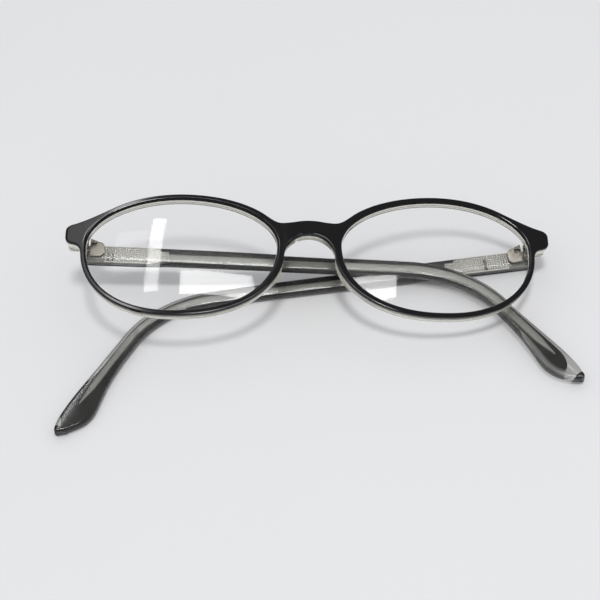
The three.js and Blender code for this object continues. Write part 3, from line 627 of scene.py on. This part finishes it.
# The two arms have been bent differently in use. Droop, turn and bend are in degrees. Further
# back the black keeps the shares blackTop and blackLow of the half height, and it stops short of
# the tip. Just before, the share tipWidth of what it lost comes back. Core is the wire's width.
folds = {"right": {"droop": 2.6, "turn": -0.615, "straight": 86.0, "bend": 49.3, "tip": 31.0, "core": 2.0,
                   "blackTop": 0.8, "blackLow": 0.32, "blackStops": 5.0, "tipWidth": 0.0},
         "left": {"droop": 6.49, "turn": -3.74, "straight": 84.8, "bend": 52.7, "tip": 32.9, "core": 1.65,
                  "blackTop": 0.62, "blackLow": 0.95, "blackStops": 1.9, "tipWidth": 0.9}}
# Distance back from the tip, then the section's upper and lower edge
armEdges = [(0, -0.25, -0.85), (0.7, 0.3, -1.8), (1.2, 0.52, -2.4), (2.2, 0.88, -3.3), (4.2, 1.28, -4.6),
            (6.2, 1.48, -5.35), (8.7, 1.65, -5.65), (11.2, 1.72, -5.3), (14.2, 1.72, -4.55),
            (19.2, 1.68, -3.5), (24.2, 1.65, -2.9), (29.2, 1.65, -2.6), (39.2, 1.7, -2.45),
            (59.0, 1.95, -2.3), (84.0, 2.2, -2.15), (104.0, 2.4, -2.3), (124.0, 2.4, -2.3),
            (150.0, 2.3, -2.3)]


def clamp(value):
    return min(max(value, 0.0), 1.0)


def ease(distance, start, length):
    t = clamp((distance - start) / length)
    return t * t * (3 - 2 * t)


def armLengthOf(word):
    return folds[word]["straight"] + arm["bendLength"] + folds[word]["tip"]


def directionAt(word, distance):
    straight = folds[word]["straight"]
    bend = math.radians(folds[word]["bend"]) * clamp((distance - straight) / arm["bendLength"])
    curled = clamp((distance - straight - arm["curlDelay"]) / arm["curlLength"])
    curl = math.radians(arm["curlAngle"]) * curled
    return Vector((math.cos(bend) * math.cos(curl), -math.sin(bend) * math.cos(curl), math.sin(curl))), bend


armPaths = {}
for word in folds:
    path = [Vector((0, 0, 0))]
    while len(path) * arm["step"] < armLengthOf(word) + 2 * arm["step"]:
        direction = directionAt(word, (len(path) - 0.5) * arm["step"])[0]
        path.append(path[-1] + direction * arm["step"])
    armPaths[word] = path


def armPoint(word, distance):
    if distance <= 0:
        return Vector((distance, 0, 0))
    at = distance / arm["step"]
    i = min(int(at), len(armPaths[word]) - 2)
    return armPaths[word][i].lerp(armPaths[word][i + 1], at - i)


edgeKeys = [math.sqrt(row[0]) for row in armEdges]  # the root keeps the tip round


def edgeAt(key, column):  # a smooth curve through the rows
    i = min(max(bisect.bisect(edgeKeys, key), 1), len(edgeKeys) - 1)

    def slopeAt(k):
        a, b = max(k - 1, 0), min(k + 1, len(edgeKeys) - 1)
        return (armEdges[b][column] - armEdges[a][column]) / (edgeKeys[b] - edgeKeys[a])
    width = edgeKeys[i] - edgeKeys[i - 1]
    t = (key - edgeKeys[i - 1]) / width
    return ((2 * t ** 3 - 3 * t ** 2 + 1) * armEdges[i - 1][column]
            + (t ** 3 - 2 * t ** 2 + t) * width * slopeAt(i - 1)
            + (3 * t ** 2 - 2 * t ** 3) * armEdges[i][column]
            + (t ** 3 - t ** 2) * width * slopeAt(i))


def armSize(word, distance):  # top, bottom and thickness of the section
    key = math.sqrt(max(armLengthOf(word) - distance, 0))
    taper = clamp(distance / arm["taperLength"])
    thickness = hinge["armThickness"] + (arm["thickness"] - hinge["armThickness"]) * taper
    return edgeAt(key, 1), edgeAt(key, 2), thickness


def sectionAt(word, distance, section):
    direction, bend = directionAt(word, distance)
    up = Vector((math.sin(bend), math.cos(bend), 0))
    inward = direction.cross(up)
    origin = armPoint(word, distance) + Vector((0, -arm["lower"], -hinge["axisProud"]))
    points = [origin + up * height + inward * depth for height, depth in section]
    if distance <= 0:
        for point, (height, depth) in zip(points, section):
            point.x -= height * math.tan(math.radians(folds[word]["droop"]))
    return points


# The outer face is milled to a crown, which narrows the black further back. The black is thinner
# beside the core's head. It is rounded off before the tip, and a thin cap makes the tip black.
blackPart = {"narrowFrom": 60.0, "narrowOver": 55.0, "widenBefore": 24.0, "widenOver": 12.0, "proud": 0.012,
             "headShare": 0.3, "headTo": 16.0, "headOver": 8.0, "endRound": 5.0, "endLeast": 0.002,
             "capFrom": 2.0, "capOver": 0.8, "capSkin": 0.12, "capShare": 0.9, "capEnd": 0.4,
             "capLeast": 0.01}


def crownDepth(across):
    out = clamp((abs(across) - arm["crownFlat"]) / (1 - arm["crownFlat"]))
    return arm["crown"] * (1 - math.sqrt(1 - out ** arm["crownPower"]))


def clearSection(word, distance):
    top, bottom, thickness = armSize(word, distance)
    middle, half = (top + bottom) / 2, (top - bottom) / 2
    radius = min(arm["corner"], half)
    quarter = [(radius * (1 - math.cos(a)), -radius * (1 - math.sin(a))) for a in evenly(0, math.pi / 2, 6)]
    crown = [(middle + half * a, crownDepth(a) - thickness) for a in evenly(1, -1, 24)]
    return crown + [(bottom + a, b) for a, b in quarter] + [(top - a, b) for a, b in reversed(quarter)]


def blackSection(word, distance):
    top, bottom, thickness = armSize(word, distance)
    middle, half = (top + bottom) / 2, (top - bottom) / 2
    fold, length = folds[word], armLengthOf(word)
    widened = fold["tipWidth"] * ease(distance, length - blackPart["widenBefore"], blackPart["widenOver"])
    narrowed = ease(distance, blackPart["narrowFrom"], blackPart["narrowOver"]) * (1 - widened)
    left = length - fold["blackStops"] - distance
    end = math.sqrt(max(1 - (1 - clamp(left / blackPart["endRound"])) ** 2, blackPart["endLeast"]))
    high = (1 - narrowed * (1 - fold["blackTop"])) * end + blackPart["proud"] / half
    low = -(1 - narrowed * (1 - fold["blackLow"])) * end - blackPart["proud"] / half
    gained = (1 - blackPart["headShare"]) * ease(distance, blackPart["headTo"], blackPart["headOver"])
    joint = arm["black"] * (blackPart["headShare"] + gained) - thickness
    crown = [(middle + half * a, crownDepth(clamp(abs(a))) - thickness - blackPart["proud"])
             for a in evenly(high, low, 20)]
    return [(middle + half * low, joint), (middle + half * high, joint)] + crown


def capSection(word, distance):
    top, bottom, thickness = armSize(word, distance)
    middle, half = (top + bottom) / 2, (top - bottom) / 2 + blackPart["proud"]
    rise = ease(distance, armLengthOf(word) - blackPart["capFrom"], blackPart["capOver"])
    joint = -thickness * (1 - rise) - blackPart["capSkin"]
    crown = [(middle + half * a, crownDepth(a) - thickness - blackPart["proud"]) for a in evenly(1, -1, 20)]
    high = max(joint, crown[0][1] + blackPart["capLeast"])
    share = blackPart["capShare"]
    return [(middle - half * share, high), (middle + half * share, high)] + crown


wire = {"thickness": 0.8, "shortOfTip": 9.8, "pointLength": 6.0, "pointWidth": 0.3, "lower": 0.35,
        "lowerTip": 0.5, "lowerTipOver": 20.0, "recess": 0.25, "edgeShare": 0.6,
        "headLength": 17.5, "headWidth": 4.7, "headTaper": 4.5}


def wireSection(word, distance):
    wireEnd = armLengthOf(word) - wire["shortOfTip"]
    depth = (arm["black"] + front["glue"] - armSize(word, distance)[2]) / 2
    behindHead = ease(distance, wire["headLength"], wire["headTaper"])
    width = folds[word]["core"]
    strip = (width + (wire["headWidth"] - width) * (1 - behindHead)) / 2
    point = clamp((wireEnd - distance) / wire["pointLength"])
    half = wire["pointWidth"] / 2 + (strip - wire["pointWidth"] / 2) * point
    thin = wire["thickness"] / 2
    edge = min(half, thin) * wire["edgeShare"]
    quarter = [(edge * (1 - math.cos(a)), edge * (1 - math.sin(a))) for a in evenly(0, math.pi / 2, 3)]
    low = (wire["lower"] * behindHead
           + wire["lowerTip"] * ease(distance, wireEnd - wire["lowerTipOver"], wire["lowerTipOver"]))
    return ([(half - a - low, depth + thin - b) for a, b in quarter]
            + [(-half + a - low, depth + thin - b) for a, b in reversed(quarter)]
            + [(-half + a - low, depth - thin + b) for a, b in quarter]
            + [(half - a - low, depth - thin + b) for a, b in reversed(quarter)])


# How many sections each stretch of an arm has. The first two lie rootGap apart. Those of the
# round tip and of its cap crowd towards the end.
stretches = {"rootGap": 0.3, "straight": 24, "bend": 60, "roundTip": 10.0, "tip": 16, "cap": 12,
             "head": 24, "core": 80}
headEnd = wire["headLength"] + wire["headTaper"]


def tipStations(start, end):
    return [start + (end - start) * math.sin(a) for a in evenly(0, math.pi / 2, stretches["tip"])]


def stationsTo(word, end):
    straight, beforeTip = folds[word]["straight"], armLengthOf(word) - stretches["roundTip"]
    return ([-arm["ahead"], -arm["ahead"] + stretches["rootGap"], 0.0]
            + evenly(0, straight, stretches["straight"])[1:]
            + evenly(straight, beforeTip, stretches["bend"])[1:-1] + tipStations(beforeTip, end))


def armFrame(word):
    fold, side = folds[word], sides[word]
    place = Matrix.Translation((side * axisX, hinge["height"], axisZ))
    place = place @ Matrix.Rotation(math.radians(fold["turn"]), 4, "Y")
    place = place @ Matrix.Rotation(side * math.radians(fold["droop"]), 4, "Z")
    return toRow @ place @ Matrix.Diagonal((-side, 1, 1, 1))


def armLoft(name, word, stations, section, materials, joint=0):  # joint: material of the first side
    rings = [sectionAt(word, at, section(word, at)) for at in stations]
    count = len(rings[0])
    points = [p for ring in rings for p in ring]
    faceSlots = ([joint] + [0] * (count - 1)) * (len(rings) - 1) + [0, 0]
    return newPiece(name, points, cappedStrips(len(rings), count), materials, faceSlots, armFrame(word))


def finishArmPiece(piece, word, part):
    keepSharp(piece, 50)
    finishPiece(piece, word + "_arm", word + "_arm_" + part)


for word in sides:
    length = armLengthOf(word)
    stations = stationsTo(word, length - folds[word]["blackStops"])
    piece = armLoft(word + "ArmBlackLayer", word, stations, blackSection, [black, blackJoint], 1)
    capFrom, capEnd = length - blackPart["capFrom"], length - blackPart["capEnd"]
    stations = evenly(capFrom, capEnd, stretches["cap"]) + tipStations(capEnd, length)[1:]
    cap = armLoft("cap", word, stations, capSection, [black, blackJoint], 1)
    both = bmesh.new()
    both.from_mesh(piece.data)
    both.from_mesh(cap.data)
    both.to_mesh(piece.data)
    both.free()
    bpy.data.objects.remove(cap)
    finishArmPiece(piece, word, "black_layer")
    piece = armLoft(word + "ArmCrystalLayer", word, stationsTo(word, length), clearSection, [clearArm])
    finishArmPiece(piece, word, "crystal_layer")
    stations = ([-arm["ahead"] + wire["recess"], 0.0] + evenly(0, headEnd, stretches["head"])[1:]
                + evenly(headEnd, length - wire["shortOfTip"], stretches["core"])[1:])
    piece = armLoft(word + "ArmCoreWire", word, stations, wireSection, [core])
    finishArmPiece(piece, word, "core_wire")
print("arms made")

# The core's head is rolled with small pyramids, which grip the clear plastic. They are coarser
# than the real ones, so that they show.
knurl = {"from": 5.4, "pitch": 0.6, "rise": 0.3, "beforeEnd": 0.3, "edges": 0.4, "sunk": 0.01,
         "spikeShare": 0.62, "narrowTo": 0.45, "edgeSlack": 0.502, "heights": (0.45, 1.2), "seed": 3}


def knurlTree():
    tree = bpy.data.node_groups.new("rolledKnurl", "GeometryNodeTree")
    for name in ("From", "To", "Width", "Pitch", "Rise", "Taper From", "Slope", "Depth"):
        tree.interface.new_socket(name, in_out="INPUT", socket_type="NodeSocketFloat")
    tree.interface.new_socket("Material", in_out="INPUT", socket_type="NodeSocketMaterial")
    tree.interface.new_socket("Geometry", in_out="OUTPUT", socket_type="NodeSocketGeometry")
    given = addNode(tree, "NodeGroupInput").outputs

    def reckon(operation, a, b):
        links = {i: v for i, v in enumerate((a, b)) if not isinstance(v, float)}
        values = {i: v for i, v in enumerate((a, b)) if isinstance(v, float)}
        return addNode(tree, "ShaderNodeMath", {"operation": operation, **values}, links).outputs[0]
    length = reckon("SUBTRACT", given["To"], given["From"])
    rows = reckon("ADD", reckon("DIVIDE", length, given["Pitch"]), 1.0)
    lines = reckon("ADD", reckon("DIVIDE", given["Width"], given["Pitch"]), 1.0)
    grid = addNode(tree, "GeometryNodeMeshGrid", {}, {"Size X": length, "Size Y": given["Width"],
                                                      "Vertices X": rows, "Vertices Y": lines})
    middle = reckon("MULTIPLY", reckon("ADD", given["To"], given["From"]), 0.5)
    onGrid = addNode(tree, "GeometryNodeInputPosition").outputs[0]
    at = addNode(tree, "ShaderNodeSeparateXYZ", {}, {0: onGrid})
    along = reckon("ADD", at.outputs["X"], middle)
    height = reckon("ADD", given["Depth"], reckon("MULTIPLY", along, given["Slope"]))
    moved = addNode(tree, "ShaderNodeCombineXYZ", {}, {"X": along, "Y": at.outputs["Y"], "Z": height})
    narrow = addNode(tree, "ShaderNodeMapRange", {"To Min": 1.0, "To Max": knurl["narrowTo"]},
                     {"Value": along, "From Min": given["Taper From"], "From Max": given["To"]})
    widest = reckon("MULTIPLY", given["Width"], knurl["edgeSlack"])
    half = reckon("MULTIPLY", widest, narrow.outputs["Result"])
    outside = reckon("GREATER_THAN", reckon("ABSOLUTE", at.outputs["Y"], 0.0), half)
    kept = addNode(tree, "GeometryNodeDeleteGeometry", {"domain": "POINT"},
                   {"Geometry": grid.outputs["Mesh"], "Selection": outside})
    laid = addNode(tree, "GeometryNodeSetPosition", {},
                   {"Geometry": kept.outputs[0], "Position": moved.outputs[0]})
    radius = reckon("MULTIPLY", given["Pitch"], knurl["spikeShare"])
    spike = addNode(tree, "GeometryNodeMeshCone", {"Vertices": 4},
                    {"Radius Bottom": radius, "Depth": given["Rise"]})
    least, most = knurl["heights"]
    uneven = addNode(tree, "FunctionNodeRandomValue",
                     {"data_type": "FLOAT", "Seed": knurl["seed"], 2: least, 3: most})
    worn = addNode(tree, "ShaderNodeCombineXYZ", {"X": 1.0, "Y": 1.0}, {"Z": uneven.outputs[1]})
    spread = addNode(tree, "GeometryNodeInstanceOnPoints", {"Rotation": (0, 0, math.radians(45))},
                     {"Points": laid.outputs[0], "Instance": spike.outputs["Mesh"],
                      "Scale": worn.outputs[0]})
    real = addNode(tree, "GeometryNodeRealizeInstances", {}, {0: spread.outputs[0]})
    done = addNode(tree, "GeometryNodeSetMaterial", {},
                   {"Geometry": real.outputs[0], "Material": given["Material"]})
    addNode(tree, "NodeGroupOutput", {}, {"Geometry": done.outputs[0]})
    return tree


def bakeNodes(name, tree, values, place):
    holder = bpy.data.objects.new("holder", bpy.data.meshes.new("holder"))
    bpy.context.collection.objects.link(holder)
    change = holder.modifiers.new("nodes", "NODES")
    change.node_group = tree
    for item in tree.interface.items_tree:
        if item.in_out == "INPUT" and item.name in values:
            change[item.identifier] = values[item.name]
    made = bpy.data.meshes.new_from_object(holder.evaluated_get(bpy.context.evaluated_depsgraph_get()))
    bpy.data.objects.remove(holder)
    made.transform(place)
    piece = bpy.data.objects.new(name, made)
    bpy.context.collection.objects.link(piece)
    return piece


rolled = knurlTree()
slope = (hinge["armThickness"] - arm["thickness"]) / arm["taperLength"] / 2
coreMiddle = (arm["black"] + front["glue"] - hinge["armThickness"]) / 2
coreFace = coreMiddle + wire["thickness"] / 2 - hinge["axisProud"]
for word in sides:
    values = {"From": knurl["from"], "To": headEnd - knurl["beforeEnd"],
              "Width": wire["headWidth"] - knurl["edges"], "Pitch": knurl["pitch"], "Rise": knurl["rise"],
              "Taper From": wire["headLength"], "Slope": slope, "Depth": coreFace - knurl["sunk"],
              "Material": bright}
    place = armFrame(word) @ Matrix.Translation((0, -arm["lower"], 0))
    piece = bakeNodes(word + "ArmKnurl", rolled, values, place)
    if word == "right":  # armFrame mirrors this side
        piece.data.flip_normals()
    finishPiece(piece, word + "_arm", None)
print("core heads knurled")

# A dark plate in the leaf's slot is painted shade, standing where the slot's inside lies in shadow.
# Dark bars lie in the arm near the hinge; a bar has its distance from the axis, its width and its upper and
# lower end.
slotShadePlate = {"from": 1.45, "to": 3.15, "low": 0.55, "high": 1.85, "bottom": -1.14, "thickness": 0.12}
darkBars = {"right": [(6.2, 0.3, -0.6, -2.75), (7.4, 0.3, -0.6, -2.75)], "left": [(11.3, 0.75, 0.2, -2.8)]}
barDepth = (-1.75, -1.35)
boxFaces = ((0, 1, 3, 2), (4, 6, 7, 5), (0, 4, 5, 1), (2, 3, 7, 6), (0, 2, 6, 4), (1, 5, 7, 3))
for word in sides:
    boxes = [(slotShadePlate["from"], slotShadePlate["to"], slotShadePlate["low"], slotShadePlate["high"], slotShadePlate["bottom"],
              slotShadePlate["bottom"] + slotShadePlate["thickness"])]
    boxes += [(at - width / 2, at + width / 2, low, high, *barDepth) for at, width, high, low in darkBars[word]]
    points, faces = [], []
    for x0, x1, y0, y1, z0, z1 in boxes:
        faces += [[len(points) + i for i in face] for face in boxFaces]
        points += [(x, y, z) for x in (x0, x1) for y in (y0, y1) for z in (z0, z1)]
    piece = newPiece(word + "ArmSlotShadeAndBars", points, faces, [shadeAndBarMetal], place=armFrame(word), smooth=False)
    finishPiece(piece, word + "_arm", None)

for word in sides:
    for part, material in (("front_hinge_leaf", silver), ("arm_hinge_leaf", silver), ("hinge_screw", steel)):
        for slot in frame["nodes"][word + "_" + part].material_slots:
            slot.link = "OBJECT"
            slot.material = material
print("hinges dressed")

# Table, camera and light
tableHalf = 2.0
corners = [(-tableHalf, -tableHalf, 0), (tableHalf, -tableHalf, 0), (tableHalf, tableHalf, 0),
           (-tableHalf, tableHalf, 0)]
floor = newPiece("table", corners, [[0, 1, 2, 3]], [mottled("mattPaleTable", tableLook)],
                 place=Matrix.Identity(4), smooth=False)

view = {"lens": 86.55, "sensor": 36, "nearest": 0.01, "pitch": 29.74, "yaw": 3.03, "roll": -0.88,
        "place": (2.51, 12.46, -372.37)}
look = (Matrix.Rotation(math.radians(-view["roll"]), 4, "Z")
        @ Matrix.Rotation(math.radians(-view["pitch"]), 4, "X")
        @ Matrix.Rotation(math.radians(view["yaw"]), 4, "Y"))
cameraData = bpy.data.cameras.new("camera")
cameraData.lens = view["lens"]
cameraData.sensor_width = view["sensor"]
cameraData.clip_start = view["nearest"]
camera = bpy.data.objects.new("camera", cameraData)
bpy.context.collection.objects.link(camera)
back = look.transposed()
where = toRow @ (back @ (Vector(view["place"]) * -1))
camera.matrix_world = Matrix.Translation(where) @ turn @ back
bpy.context.scene.camera = camera

# Metres and watts, all facing down. The spot lights the table; the other three are cards that
# only polished pieces mirror.
lamps = {
    "spot": {"at": (0.04, -0.25, 1.2), "size": (0.22, 0.22), "power": 5.3, "shape": "ELLIPSE"},
    "panel": {"at": (0.06, 0.185, 1.2), "size": (0.33, 0.15), "power": 2.2, "shape": "RECTANGLE"},
    "strip": {"at": (-0.23, 0.506, 1.2), "size": (0.066, 0.74), "power": 1.5, "shape": "RECTANGLE"},
    "glow": {"at": (-0.36, 0.48, 1.2), "size": (0.16, 0.4), "power": 0.28, "shape": "RECTANGLE"},
}
for name, lamp in lamps.items():
    data = bpy.data.lights.new(name, "AREA")
    data.shape = lamp["shape"]
    data.size, data.size_y = lamp["size"]
    data.energy = lamp["power"]
    light = bpy.data.objects.new(name, data)
    bpy.context.collection.objects.link(light)
    light.location = lamp["at"]
    light.visible_diffuse = name == "spot"

# The room's strength as light, in the gloss of the pieces and seen through clear plastic
roomLight = {"colour": "#EDEEF0", "plain": 0.81, "mirrored": 0.34, "through": 0.68}
world = bpy.data.worlds.new("paleRoom")
bpy.context.scene.world = world
world.use_nodes = True
room = world.node_tree.nodes["Background"]
room.inputs["Color"].default_value = linear(roomLight["colour"])
ray = addNode(world.node_tree, "ShaderNodeLightPath").outputs
gloss = ranged(world.node_tree, ray["Is Glossy Ray"], roomLight["plain"], roomLight["mirrored"])
strength = addNode(world.node_tree, "ShaderNodeMapRange", {"To Max": roomLight["through"]},
                   {"Value": ray["Is Transmission Ray"], "To Min": gloss})
world.node_tree.links.new(strength.outputs["Result"], room.inputs["Strength"])
bpy.context.scene.view_settings.view_transform = "Standard"
print("stage set")
